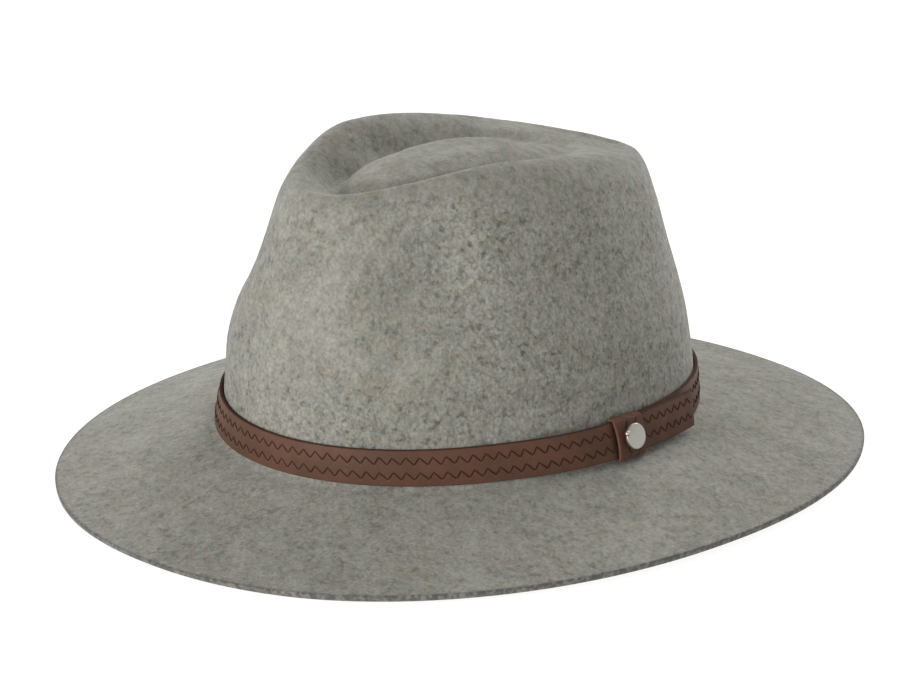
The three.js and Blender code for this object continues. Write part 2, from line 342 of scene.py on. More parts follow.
# Wool melange: pale and dark curled fibres over a soft grain, small dark flecks, and slow clouds and tints
def makeMelangeGroup(fibres):
    group, given, end = newGroup("woolMelange", {
        "Vector": None, "Base": (0.22, 0.21, 0.18, 1), "Pale": (0.35, 0.34, 0.3, 1),
        "Dark": (0.09, 0.09, 0.08, 1), "Warm": (0.23, 0.21, 0.17, 1), "Cool": (0.21, 0.21, 0.19, 1),
        "Grain share": 0.5, "Fibre share": 0.5, "Fleck share": 0.5, "Cloud share": 0.5}, ("Color", "Height"))
    wool = woolLayers

    # a layer's plain noise, and the same faded in
    def layer(name, y):
        scale, detail, roughness, low, high = wool[name]
        value = noiseAt(group, given["Vector"], scale, -900, y, detail, roughness)
        return value, rampBetween(group, value, low, high, -650, y)

    def fibreLines(name, y):
        first, second = (useGroup(group, fibres, -900, y - 200 * i, {
            "Vector": given["Vector"], "Size": size, "Thickness": thickness, "Offset": offset})
            for i, (size, thickness, offset) in enumerate(wool[name]))
        return math2(group, "MAXIMUM", first.outputs["Lines"], second.outputs["Lines"], -650, y)

    tints, flecks, speckle = layer("tints", 600)[1], layer("flecks", 0)[1], layer("speckle", 1000)[1]
    clouds = multiply(group, layer("clouds", 800)[1], wool["cloudShare"], -450, 800)
    clumps = multiply(group, layer("clumps", 400)[1], wool["clumpShare"], -450, 400)
    plainGrain, grain = layer("grain", 200)
    darkLines, paleLines = fibreLines("dark", -200), fibreLines("pale", -600)

    colour = mixColour(group, tints, given["Warm"], given["Cool"], -400, 600)
    colour = mixColour(group, wool["baseShare"], colour, given["Base"], -250, 600)
    slow = math2(group, "ADD", clouds, clumps, -250, 800)
    slow = multiply(group, slow, given["Cloud share"], -100, 800)
    colour = mixColour(group, slow, colour, given["Pale"], 0, 600)
    soft = multiply(group, grain, given["Grain share"], -450, 200)
    colour = mixColour(group, soft, colour, given["Pale"], 150, 500)
    paleShare = multiply(group, paleLines, given["Fibre share"], -450, -650)
    colour = mixColour(group, paleShare, colour, given["Pale"], 300, 400)
    darkShare = multiply(group, darkLines, given["Fibre share"], -450, -250)
    colour = mixColour(group, darkShare, colour, given["Dark"], 450, 300)
    spots = multiply(group, invert(group, flecks, -450, 0), given["Fleck share"], -250, 0)
    spots = multiply(group, spots, subtract(group, wool["fleckLimit"], slow, -250, 100), -100, 0)
    colour = mixColour(group, spots, colour, given["Dark"], 600, 300)
    speckleShare = multiply(group, given["Grain share"], wool["speckleShare"], 500, 700)
    colour = mixColour(group, speckleShare, colour, speckle, 750, 300, how="OVERLAY")
    height = math2(group, "ADD", multiply(group, plainGrain, wool["grainHeight"], 100, -100),
                   multiply(group, paleLines, wool["fibreHeight"], 100, -250), 300, -150)
    height = subtract(group, height, multiply(group, darkLines, wool["fibreHeight"], 300, -350), 500, -150)
    feed(group, end, {"Color": colour, "Height": height})
    return group


# Leather hide: fine pores and creases, with slow patches of colour
def makeHideGroup():
    group, given, end = newGroup("leatherHide", {
        "Vector": None, "Pore size": 0.0007, "Patch size": 0.02}, ("Grain", "Patches", "Scuffs"))
    vector = given["Vector"]
    poreScale = math2(group, "DIVIDE", 1.0, given["Pore size"], -1150, 200)
    patchScale = math2(group, "DIVIDE", 1.0, given["Patch size"], -1150, -100)
    pores = addNode(group, "ShaderNodeTexVoronoi", -900, 300, {
        "Vector": vector, "Scale": poreScale, "Randomness": 1.0}, feature="SMOOTH_F1").outputs["Distance"]
    pores = multiply(group, pores, 0.6, -650, 300)
    creases = multiply(group, noiseAt(group, vector, poreScale, -900, 0, 3.0, 0.6), 0.4, -650, 100)
    grain = math2(group, "ADD", pores, creases, -400, 200)
    patches = noiseAt(group, vector, patchScale, -900, -200, 4.0, 0.6)
    stretched = addNode(group, "ShaderNodeMapping", -1150, -450, {"Vector": vector, "Scale": (1, 1, 5)})
    scuffs = noiseAt(group, stretched.outputs[0], 160.0, -900, -450, 4.0, 0.7)
    scuffs = rampBetween(group, scuffs, 0.56, 0.7, -650, -450)
    feed(group, end, {"Grain": grain, "Patches": patches, "Scuffs": scuffs})
    return group


# Zigzag channel: a mask along a line that goes up and down with the stitches, and one for a painted
# highlight beside the low holes
def makeChannelGroup():
    group, given, end = newGroup("zigzagChannel", {
        "Along": 0.0, "Across": 0.0, "Start": 0.0, "Period": 0.0052, "Climb": 0.4, "Row": 0.004,
        "Reach": 0.0029, "Width": 0.0006}, ("Mask", "HoleHighlights"))
    period, row, reach, width = (given[name] for name in ("Period", "Row", "Reach", "Width"))
    along = subtract(group, given["Along"], given["Start"], -1150, 200)
    turns = math2(group, "DIVIDE", along, period, -950, 200)
    part = math2(group, "FRACT", turns, 0.0, -750, 200)
    rising = math2(group, "DIVIDE", part, given["Climb"], -550, 300)
    left = invert(group, part, -550, 150)
    falling = math2(group, "DIVIDE", left, invert(group, given["Climb"], -550, 0), -350, 150)
    swing = subtract(group, math2(group, "MINIMUM", rising, falling, -150, 200), 0.5, 0, 200)
    line = math2(group, "ADD", multiply(group, swing, reach, 100, 200), row, 250, 200)
    gap = subtract(group, given["Across"], line, 400, 100)
    gap = math2(group, "ABSOLUTE", gap, 0.0, 500, 100)
    mask = invert(group, rampBetween(group, gap, 0.0, width, 600, 100), 750, 100)

    # painted highlight: a soft spot just below each low hole
    low = subtract(group, row, multiply(group, reach, 0.68, -550, -300), -350, -300)
    down = math2(group, "DIVIDE", subtract(group, given["Across"], low, -150, -300), width, 0, -300)
    nearest = math2(group, "MINIMUM", part, left, -350, -100)
    sideways = math2(group, "DIVIDE", multiply(group, nearest, period, -150, -100), width, 0, -100)
    offset = addNode(group, "ShaderNodeCombineXYZ", 100, -200, {0: sideways, 1: down}).outputs[0]
    apart = addNode(group, "ShaderNodeVectorMath", 200, -200, {0: offset}, operation="LENGTH")
    holeHighlights = invert(group, rampBetween(group, apart.outputs["Value"], 0.15, 0.8, 400, -200), 600, -200)
    feed(group, end, {"Mask": mask, "HoleHighlights": holeHighlights})
    return group


# Edge wear: a mask that fades in near the two edges of a strip, with a broken border
def makeWearGroup():
    group, given, end = newGroup("edgeWear", {
        "Vector": None, "Place": 0.0, "Low": 0.0, "High": 1.0, "Reach": 0.001}, ("Mask",))
    ragged = subtract(group, noiseAt(group, given["Vector"], 260.0, -1150, 300, 3.0), 0.5, -950, 300)
    ragged = multiply(group, ragged, given["Reach"], -750, 300)
    place = math2(group, "ADD", given["Place"], ragged, -550, 200)
    fromLow = subtract(group, place, given["Low"], -350, 200)
    fromHigh = subtract(group, given["High"], place, -350, 0)
    nearest = math2(group, "MINIMUM", fromLow, fromHigh, -150, 100)
    mask = invert(group, rampBetween(group, nearest, 0.0, given["Reach"], 100, 100), 350, 100)
    feed(group, end, {"Mask": mask})
    return group


# Handling marks on satin metal: faint fine scratches and slow smudges
def makeScratchGroup():
    group, given, end = newGroup("handlingMarks", {
        "Vector": None, "Scratch size": 0.0004}, ("Scratches", "Smudges"))
    scale = math2(group, "DIVIDE", 1.0, given["Scratch size"], -1150, 200)
    drawn = addNode(group, "ShaderNodeMapping", -1150, 0, {
        "Vector": given["Vector"], "Rotation": (0.3, 0.2, 0.5), "Scale": (1.0, 1.0, 0.08)}).outputs[0]
    lines = noiseAt(group, drawn, scale, -800, 200, 2.0, 0.7)
    smudges = noiseAt(group, given["Vector"], 350.0, -800, -100, 3.0)
    feed(group, end, {"Scratches": lines, "Smudges": smudges})
    return group


print("groups")
curledFibres = makeFibreGroup()
woolMelange = makeMelangeGroup(curledFibres)
leatherHide = makeHideGroup()
zigzagChannel = makeChannelGroup()
edgeWear = makeWearGroup()
handlingMarks = makeScratchGroup()


# Felt body

feltLook = {
    "base": (0.168, 0.163, 0.141, 1), "pale": (0.262, 0.256, 0.224, 1), "dark": (0.06, 0.06, 0.053, 1),
    "warm": (0.2, 0.16, 0.112, 1), "cool": (0.145, 0.164, 0.149, 1),
    "grainShare": 0.46, "fibreShare": 0.28, "fleckShare": 0.56, "cloudShare": 0.98,
    "cut": (0.05, 0.047, 0.041, 1), "cutShare": 0.8,       # painted shade on the brim's downward-facing cut edge
    "cutMottle": 480.0, "cutPale": 0.45,     # how fine its spots are, and how much felt colour they keep
    "roughness": 0.95, "specular": 0.2, "fuzz": 0.1, "fuzzRoughness": 0.6, "fibreDepth": 0.00015,
    # how much smoother the felt looks on the brim, on the crown's top and at the front between the pinches
    "brushedBrim": 0.3, "brushedTop": 0.5, "brushedFront": 0.3,
    "topZone": (0.03, 0.014),                # how far under the crown's top it starts and is full
    "frontZone": (0.045, 0.08), "frontHeight": 0.07,
}

feltShape = {
    "crownTop": 0.132, "thickness": 0.0024,
    "poleReach": 0.0015, "poleSpan": 18,    # the middle of the crown's top, and half the sides round it
    "rimCrease": 0.75, "rimFrom": 0.998,    # share of the outline from which the brim's edge stays crisp
    "cutEdge": (0.9925, 0.9985),            # shares of the outline between which the cut edge's painted shade fades in
    "swell": 0.0011, "swellSize": 0.045,    # slow unevenness of the blocked crown
    "lump": 0.00035, "lumpSize": 0.009,     # small lumps in the felt
    "bandLow": 0.017, "bandHigh": 0.042,    # left even where the strap lies
    "fadeBelow": 0.004, "fadeAbove": 0.008,
    "restHeight": 0.004,                    # left even near the table
    "outlinePower": 2.12,                   # the brim's outline seen from above
}


# How near a place is to the brim's outline, 1 on it
def outlineShare(co):
    power = feltShape["outlinePower"]
    return (abs(co.x / cadHigh.x) ** power + abs(co.y / cadHigh.y) ** power) ** (1 / power)


def makeFeltMaterial():
    look = feltLook
    material, tree, shader = newMaterial(
        "greyWoolFelt", look["roughness"], Sheen_Weight=look["fuzz"], Sheen_Roughness=look["fuzzRoughness"],
        Specular_IOR_Level=look["specular"])
    where = addNode(tree, "ShaderNodeTexCoord", -900, 0).outputs["Object"]
    brushed = addNode(tree, "ShaderNodeAttribute", -1100, -300, attribute_name="brushed").outputs["Fac"]
    rough = invert(tree, brushed, -900, -300)
    wool = useGroup(tree, woolMelange, -500, 0, {
        "Vector": where, "Base": look["base"], "Pale": look["pale"], "Dark": look["dark"],
        "Warm": look["warm"], "Cool": look["cool"], "Cloud share": look["cloudShare"],
        "Grain share": multiply(tree, rough, look["grainShare"], -700, -200),
        "Fibre share": multiply(tree, rough, look["fibreShare"], -700, -350),
        "Fleck share": multiply(tree, rough, look["fleckShare"], -700, -500)})
    # painted shade on the brim's cut edge, mottled with spots that keep some felt colour
    cut = addNode(tree, "ShaderNodeAttribute", -500, 300, attribute_name="cutEdge").outputs["Fac"]
    spots = rampBetween(tree, noiseAt(tree, where, look["cutMottle"], -900, 500), 0.4, 0.62, -700, 500)
    spots = multiply(tree, spots, look["cutPale"], -500, 500)
    share = multiply(tree, cut, subtract(tree, look["cutShare"], spots, -300, 400), -200, 300)
    colour = mixColour(tree, share, wool.outputs["Color"], look["cut"], 100, 200)
    bump = addNode(tree, "ShaderNodeBump", 0, -200, {
        "Strength": 0.8, "Distance": look["fibreDepth"], "Height": wool.outputs["Height"]})
    feed(tree, shader, {"Base Color": colour, "Normal": bump.outputs[0]})
    return material


# The fan of triangles in the middle of the crown's top, outside and inside, becomes a grid
def fillPole(piece, height):
    pole = Vector((0, strapRun["crownCentre"], height))
    editMesh(piece, "VERT")
    pickVertices(piece, lambda co: (co - pole).length < feltShape["poleReach"])
    bpy.ops.mesh.delete(type="VERT")
    bpy.ops.mesh.select_all(action="DESELECT")
    bpy.ops.mesh.select_non_manifold()
    bpy.ops.mesh.fill_grid(span=feltShape["poleSpan"])
    bpy.ops.mesh.select_more()
    bpy.ops.mesh.vertices_smooth(factor=0.5, repeat=6)
    stopEditing()


# Subdivision draws a surface in at its ridges, so the coarse points move until the fine surface meets them
def pushOut(piece, levels, rounds):
    goals = [vertex.co.copy() for vertex in piece.data.vertices]
    for i in range(rounds):
        trial = piece.copy()
        trial.data = piece.data.copy()
        scene.collection.objects.link(trial)
        applyModifier(trial, "SUBSURF", levels=levels, render_levels=levels)
        for vertex, goal in zip(piece.data.vertices, goals):
            vertex.co += (goal - trial.data.vertices[vertex.index].co) * 0.9
        bpy.data.objects.remove(trial)


def makeFelt():
    shape = feltShape
    felt = bpy.data.objects.new("felt_body_soft", frame["nodes"]["felt_body"].data.copy())
    scene.collection.objects.link(felt)
    selectOnly(felt)
    bpy.ops.mesh.customdata_custom_splitnormals_clear()
    editMesh(felt, "VERT")
    bpy.ops.mesh.select_all(action="SELECT")
    bpy.ops.mesh.remove_doubles(threshold=0.00001)
    bpy.ops.mesh.tris_convert_to_quads(face_threshold=math.radians(60), shape_threshold=math.radians(120))
    stopEditing()
    for height in (shape["crownTop"], shape["crownTop"] - shape["thickness"]):
        fillPole(felt, height)

    # the brim's cut edge stays crisp
    editMesh(felt, "VERT")
    pickVertices(felt, lambda co: outlineShare(co) > shape["rimFrom"])
    bpy.ops.transform.edge_crease(value=shape["rimCrease"])
    stopEditing()
    pushOut(felt, levels=2, rounds=2)
    applyModifier(felt, "SUBSURF", levels=2, render_levels=2)

    # unevenness of felt that was blocked by hand
    free = felt.vertex_groups.new(name="free")
    for vertex in felt.data.vertices:
        z = vertex.co.z
        clear = smoothStep(z, shape["restHeight"], shape["restHeight"] + shape["fadeBelow"])
        banded = smoothStep(z, shape["bandLow"] - shape["fadeBelow"], shape["bandLow"])
        banded *= 1 - smoothStep(z, shape["bandHigh"], shape["bandHigh"] + shape["fadeAbove"])
        free.add([vertex.index], clear * (1 - banded), "REPLACE")
    for name in ("swell", "lump"):
        clouds = bpy.data.textures.new(name, "CLOUDS")
        clouds.noise_scale = shape[name + "Size"]
        applyModifier(felt, "DISPLACE", texture=clouds, texture_coords="LOCAL", vertex_group="free",
                      strength=shape[name], mid_level=0.5)

    # where the brim's cut edge gets painted shade, and where the material is smoother
    cut = felt.data.attributes.new("cutEdge", "FLOAT", "POINT")
    brushed = felt.data.attributes.new("brushed", "FLOAT", "POINT")
    look = feltLook
    topFrom, topFull = (shape["crownTop"] - under for under in look["topZone"])
    for vertex in felt.data.vertices:
        z = vertex.co.z
        cut.data[vertex.index].value = smoothStep(outlineShare(vertex.co), *shape["cutEdge"])
        brim = 1 - smoothStep(z, shape["bandLow"], shape["bandHigh"])
        top = smoothStep(vertex.normal.z, 0.3, 0.8) * smoothStep(z, topFrom, topFull)
        front = smoothStep(-vertex.co.y, *look["frontZone"])
        front *= smoothStep(z, shape["bandHigh"], look["frontHeight"])
        brushed.data[vertex.index].value = max(
            brim * look["brushedBrim"], top * look["brushedTop"], front * look["brushedFront"])
    selectOnly(felt)
    bpy.ops.object.shade_smooth()
    finishPiece(felt, "felt_body", makeFeltMaterial())


print("felt body")
makeFelt()


# Leather strap

leatherLook = {
    "deep": (0.082, 0.041, 0.025, 1), "mid": (0.101, 0.047, 0.031, 1), "light": (0.15, 0.074, 0.05, 1),
    # channel colours painted shade along the stitching, with the pressed channel's darker leather; raw also
    # colours painted highlights beside the low holes
    "cutEdge": (0.024, 0.013, 0.009, 1), "channel": (0.03, 0.012, 0.007, 1), "raw": (0.2, 0.085, 0.058, 1),
    "poreSize": 0.0008, "patchSize": 0.011, "grainDepth": 0.00007, "channelDepth": 0.0002,
    "roughness": 0.55, "specular": 0.14,
    "grainRough": 0.3, "grainUsual": 0.12, "edgeRough": 0.4,   # what pores and edges add to the roughness
    "scuffShare": 0.22, "channelShadeShare": 0.55, "holeHighlightShare": 0.5,
    "edgeShare": 0.65, "edgeReach": 0.0005,    # the strap's dark edges
    "foldShare": 0.35,                         # the keeper's paler folds
    "rawShare": 0.25, "rawReach": 0.0004,      # the keeper's cut ends, redder
    "keeperShadeShare": 0.55, "keeperShadeReach": 0.003,     # painted shade where the strap goes into the keeper
}

strapShape = {
    "steps": 220,
    "edgeRound": 0.0003,
}

# Rows of zigzag stitching on the strap: holes and legs repeat along it
strapSewing = {
    "period": 0.00519, "climb": 0.39,      # share of a period that the rising leg takes
    "reach": 0.0029,                       # height from the lowest to the highest stitch hole
    "rows": (0.004, 0.0098),               # middle of each row above the strap's lower edge
    "start": 0.00428,
    "tipShift": 0.00147, "tipRise": 0.0007,    # beyond the keeper the rows lie further on and higher
    "channel": 0.0005,
    "uneven": 0.0005,                      # how far a hole strays
    # kept free at the keeper, at the first end and at the tip
    "keeperGap": 0.0006, "firstGap": 0.001, "tipGap": 0.0015,
}


def makeLeatherMaterial(name, sewing, rows, ends=None):
    look = leatherLook
    material, tree, shader = newMaterial(name, look["roughness"], Specular_IOR_Level=look["specular"])
    where = addNode(tree, "ShaderNodeTexCoord", -1700, 400).outputs["Object"]
    hide = useGroup(tree, leatherHide, -1400, 400, {
        "Vector": where, "Pore size": look["poreSize"], "Patch size": look["patchSize"]})
    lay = addNode(tree, "ShaderNodeUVMap", -2300, -200, uv_map="lay").outputs[0]
    split = addNode(tree, "ShaderNodeSeparateXYZ", -2100, -200, {"Vector": lay})
    along, up = split.outputs[0], split.outputs[1]

    patches = rampBetween(tree, hide.outputs["Patches"], 0.38, 0.62, -1100, 500)
    colour = mixColour(tree, patches, look["deep"], look["mid"], -850, 500)
    scuffs = multiply(tree, hide.outputs["Scuffs"], look["scuffShare"], -1100, 300)
    colour = mixColour(tree, scuffs, colour, look["light"], -650, 500)
    if ends is None:
        low, high, edgeShare, edgeColour = 0.0, strapRun["height"], look["edgeShare"], look["cutEdge"]
    else:
        low, high, edgeShare, edgeColour = keeperLow, keeperHigh, look["foldShare"], look["light"]
    edges = useGroup(tree, edgeWear, -1400, 0, {
        "Vector": where, "Place": up, "Low": low, "High": high, "Reach": look["edgeReach"]}).outputs["Mask"]
    colour = mixColour(tree, multiply(tree, edges, edgeShare, -650, 200), colour, edgeColour, -450, 500)
    if ends is None:
        # beyond the keeper the rows shift, and in front of it painted shade darkens the strap
        keeperAt = lengthAt(keeperShape["angle"])
        beyond = math2(tree, "GREATER_THAN", along, keeperAt, -1950, -400)
        shift = multiply(tree, beyond, sewing["tipShift"], -1800, -400)
        rise = multiply(tree, beyond, sewing["tipRise"], -1800, -550)
        sewnAlong = subtract(tree, along, shift, -1650, -300)
        sewnUp = subtract(tree, up, rise, -1650, -500)
        # painted shade on the strap just before the keeper, in the dark edge colour
        away = subtract(tree, keeperAt - keeperShape["width"] / 2, along, -1100, 100)
        keeperShade = invert(tree, rampBetween(tree, away, 0.0, look["keeperShadeReach"], -950, 100), -800, 100)
        keeperShadeShare = multiply(tree, invert(tree, beyond, -950, 0), look["keeperShadeShare"], -800, 0)
        keeperShade = multiply(tree, keeperShade, keeperShadeShare, -650, 50)
        colour = mixColour(tree, keeperShade, colour, look["cutEdge"], -400, 600)
    else:
        sewnAlong, sewnUp = up, along
    grooveAndShade, holeHighlights = None, None
    for i, row in enumerate(rows):
        line = useGroup(tree, zigzagChannel, -1400, -300 - 300 * i, {
            "Along": sewnAlong, "Across": sewnUp, "Start": sewing["start"], "Period": sewing["period"],
            "Climb": sewing["climb"], "Row": row, "Reach": sewing["reach"], "Width": sewing["channel"]})
        mask, dots = line.outputs["Mask"], line.outputs["HoleHighlights"]
        grooveAndShade = mask if grooveAndShade is None else math2(tree, "MAXIMUM", grooveAndShade, mask, -1000, -400)
        holeHighlights = dots if holeHighlights is None else math2(tree, "MAXIMUM", holeHighlights, dots, -1000, -600)
    # painted highlight beside the low stitch holes, in the raw leather colour
    holeHighlightShare = multiply(tree, holeHighlights, look["holeHighlightShare"], -450, -500)
    colour = mixColour(tree, holeHighlightShare, colour, look["raw"], -350, 500)
    # painted shade round the thread along the stitch channel, with the pressed channel's own darker leather
    channelShadeShare = multiply(tree, grooveAndShade, look["channelShadeShare"], -450, -300)
    colour = mixColour(tree, channelShadeShare, colour, look["channel"], -200, 500)
    if ends:                               # the loop's two cut ends show the redder inside of the hide
        raw = useGroup(tree, edgeWear, -1400, -1000, {
            "Vector": where, "Place": along, "Low": ends[0], "High": ends[1], "Reach": look["rawReach"]})
        rawShare = multiply(tree, raw.outputs["Mask"], look["rawShare"], -250, -600)
        colour = mixColour(tree, rawShare, colour, look["raw"], 0, 500)
    fine = addNode(tree, "ShaderNodeBump", -200, -100, {
        "Strength": 0.6, "Distance": look["grainDepth"], "Height": hide.outputs["Grain"]})
    sunk = multiply(tree, grooveAndShade, -1.0, -200, -450)
    groove = addNode(tree, "ShaderNodeBump", 50, -200, {
        "Strength": 0.8, "Distance": look["channelDepth"], "Height": sunk, "Normal": fine.outputs[0]})
    rough = multiply(tree, hide.outputs["Grain"], look["grainRough"], -200, 150)
    rough = math2(tree, "ADD", rough, look["roughness"] - look["grainUsual"], 0, 150)
    rough = math2(tree, "ADD", rough, multiply(tree, edges, look["edgeRough"], 0, 300), 150, 200, clamp=True)
    feed(tree, shader, {"Base Color": colour, "Roughness": rough, "Normal": groove.outputs[0]})
    return material


def makeStrap():
    start, end = lengthAt(strapRun["firstEnd"]), lengthAt(strapRun["freeEnd"])
    bpy.ops.object.select_all(action="DESELECT")
    bpy.ops.mesh.primitive_cube_add(size=1, location=(
        (start + end) / 2, -strapRun["thickness"] / 2, strapRun["height"] / 2))
    strap = bpy.context.object
    strap.name = "strap_leather"
    strap.scale = (end - start, strapRun["thickness"], strapRun["height"])
    settle(strap)
    editMesh(strap, "EDGE")
    bpy.ops.mesh.select_all(action="SELECT")
    bpy.ops.mesh.bevel(offset=strapShape["edgeRound"], segments=2, affect="EDGES")
    stopEditing()
    step = (end - start) / strapShape["steps"]
    for i in range(1, strapShape["steps"]):
        editMesh(strap)
        bpy.ops.mesh.select_all(action="SELECT")
        bpy.ops.mesh.bisect(plane_co=(start + i * step, 0, 0), plane_no=(1, 0, 0))
        stopEditing()
    layOnStrap(strap)
    selectOnly(strap)
    bpy.ops.object.shade_smooth_by_angle(angle=math.radians(50))
    leather = makeLeatherMaterial("brownStrapLeather", strapSewing, strapSewing["rows"])
    finishPiece(strap, "band_strap", leather)


# Keeper loop: a strip of the same leather wrapped upright round the strap's free end. Its front is crowned.

keeperShape = {
    "angle": 363.0, "width": 0.0148,
    "gap": 0.0003,                         # between the loop and the strap in it
    "frontWall": 0.0008, "backWall": 0.001, "edgeWall": 0.0006,
    "crown": 0.0013, "spaceCrown": 0.001,  # how far the front bulges outside and inside
    "cornerRound": 0.0006, "edgeRound": 0.00022,
    "slices": 12, "levels": 12,
}
keeperFront = strapRun["thickness"] + keeperShape["gap"] + keeperShape["frontWall"]
keeperBack = keeperShape["gap"] + keeperShape["backWall"]
keeperLow = -keeperShape["gap"] - keeperShape["edgeWall"]
keeperHigh = strapRun["height"] - keeperLow

keeperSewing = {
    "period": 0.0041, "climb": 0.7, "reach": 0.002, "start": 0.0028,
    "rows": (-0.0019, 0.0031),             # upright rows, from the loop's middle
    "channel": 0.0006, "uneven": 0.00015,
    "lowGap": 0.0012, "highGap": 0.0008,   # kept free at the loop's lower and upper fold
}

print("strap")
makeStrap()


# Stitching: one thread is modelled, then copied from hole to hole and laid on the strap

threadLook = {
    "radius": 0.00017, "plies": 2600.0, "plyDepth": 0.0001,
    "dark": (0.021, 0.008, 0.005, 1), "pale": (0.055, 0.022, 0.013, 1), "roughness": 0.8, "specular": 0.1,
}


def makeThreadMaterial():
    look = threadLook
    material, tree, shader = newMaterial(
        "darkWaxedThread", look["roughness"], Specular_IOR_Level=look["specular"])
    where = addNode(tree, "ShaderNodeTexCoord", -900, 0).outputs["Object"]
    plies = noiseAt(tree, where, look["plies"], -600, 0)
    share = rampBetween(tree, plies, 0.35, 0.7, -350, 100)
    colour = mixColour(tree, share, look["dark"], look["pale"], 0, 100)
    bump = addNode(tree, "ShaderNodeBump", 0, -200, {
        "Strength": 0.5, "Distance": look["plyDepth"], "Height": plies})
    feed(tree, shader, {"Base Color": colour, "Normal": bump.outputs[0]})
    return material


# One stitch of unit length along X: it comes out of a hole, arches over the leather and goes in again
def makeStitchModel():
    radius = threadLook["radius"]
    bpy.ops.object.select_all(action="DESELECT")
    bpy.ops.mesh.primitive_circle_add(vertices=6, radius=radius * 0.7, fill_type="NGON",
                                      location=(-0.5, radius, 0), rotation=(0, math.pi / 2, 0))
    stitch = bpy.context.object
    settle(stitch)
    editMesh(stitch)
    bpy.ops.mesh.select_all(action="SELECT")
    # each step: length along the stitch, radii towards the leather, growth of the thread
    for move, sink, grow in (
            (0.12, -1.0, 1.4), (0.22, -0.5, 1.0), (0.32, 0.0, 1.0), (0.22, 0.5, 1.0), (0.12, 1.0, 0.7)):
        bpy.ops.mesh.extrude_region_move(TRANSFORM_OT_translate={"value": (move, sink * radius, 0)})
        bpy.ops.transform.resize(value=(1, grow, grow))
    bpy.ops.mesh.select_all(action="SELECT")
    bpy.ops.mesh.normals_make_consistent(inside=False)
    stopEditing()
    return stitch


# The place of a stitch hole along and across its row: even holes are low, odd ones high
def holeAt(sewing, row, i):
    turn, high = divmod(i, 2)
    along = sewing["start"] + (turn + high * sewing["climb"]) * sewing["period"]
    across = row + (high - 0.5) * sewing["reach"]
    stray = noise.noise_vector(Vector((i * 0.73, row * 900, 4.2))) * sewing["uneven"]
    return along + stray.x, across + stray.y


def sewStitch(model, a, b):
    stitch = model.copy()
    stitch.data = model.data.copy()
    scene.collection.objects.link(stitch)
    way = b - a
    turn = Matrix.Rotation(-math.atan2(way.z, way.x), 4, "Y")
    stitch.data.transform(Matrix.Translation((a + b) / 2) @ turn @ Matrix.Scale(way.length, 4, (1, 0, 0)))
    return stitch


def joinPieces(pieces, name):
    bpy.ops.object.select_all(action="DESELECT")
    for piece in pieces:
        piece.select_set(True)
    bpy.context.view_layer.objects.active = pieces[0]
    bpy.ops.object.join()
    pieces[0].name = name
    return pieces[0]


def makeStrapStitches(model):
    sewing = strapSewing
    keeperHalf = keeperShape["width"] / 2 + sewing["keeperGap"]
    keeperAt = lengthAt(keeperShape["angle"])
    first = lengthAt(strapRun["freeEnd"] - 360) + sewing["firstGap"]
    last = lengthAt(strapRun["freeEnd"]) - sewing["tipGap"]
    spans = [(first, keeperAt - keeperHalf, 0.0, 0.0),
             (keeperAt + keeperHalf, last, sewing["tipShift"], sewing["tipRise"])]
    stitches = []
    for row in sewing["rows"]:
        for first, last, shift, rise in spans:
            for i in range(2 * math.ceil(last / sewing["period"]) + 2):
                (alongA, upA), (alongB, upB) = holeAt(sewing, row, i), holeAt(sewing, row, i + 1)
                if alongA + shift < first or alongB + shift > last:
                    continue
                stitches.append(sewStitch(
                    model, Vector((alongA + shift, -strapRun["thickness"], upA + rise)),
                    Vector((alongB + shift, -strapRun["thickness"], upB + rise))))
    rows = joinPieces(stitches, "strap_stitching")
    layOnStrap(rows)
    return rows


# A bulge that is 1 halfway between two values and 0 at both
def crownShare(value, low, high):
    return max(1 - (2 * (value - low) / (high - low) - 1) ** 2, 0)


# How far a place in the loop's front wall moves out, and in the rest of the loop nothing
def keeperBulge(co):
    shape = keeperShape
    inFront = strapRun["thickness"] + shape["gap"]
    if co.y > -inFront + 0.0001:
        return 0.0
    depth = min(max((-co.y - inFront) / shape["frontWall"], 0.0), 1.0)
    inside = shape["spaceCrown"] * crownShare(co.z, -shape["gap"], strapRun["height"] + shape["gap"])
    outside = shape["crown"] * crownShare(co.z, keeperLow, keeperHigh)
    return mix(inside, outside, depth)


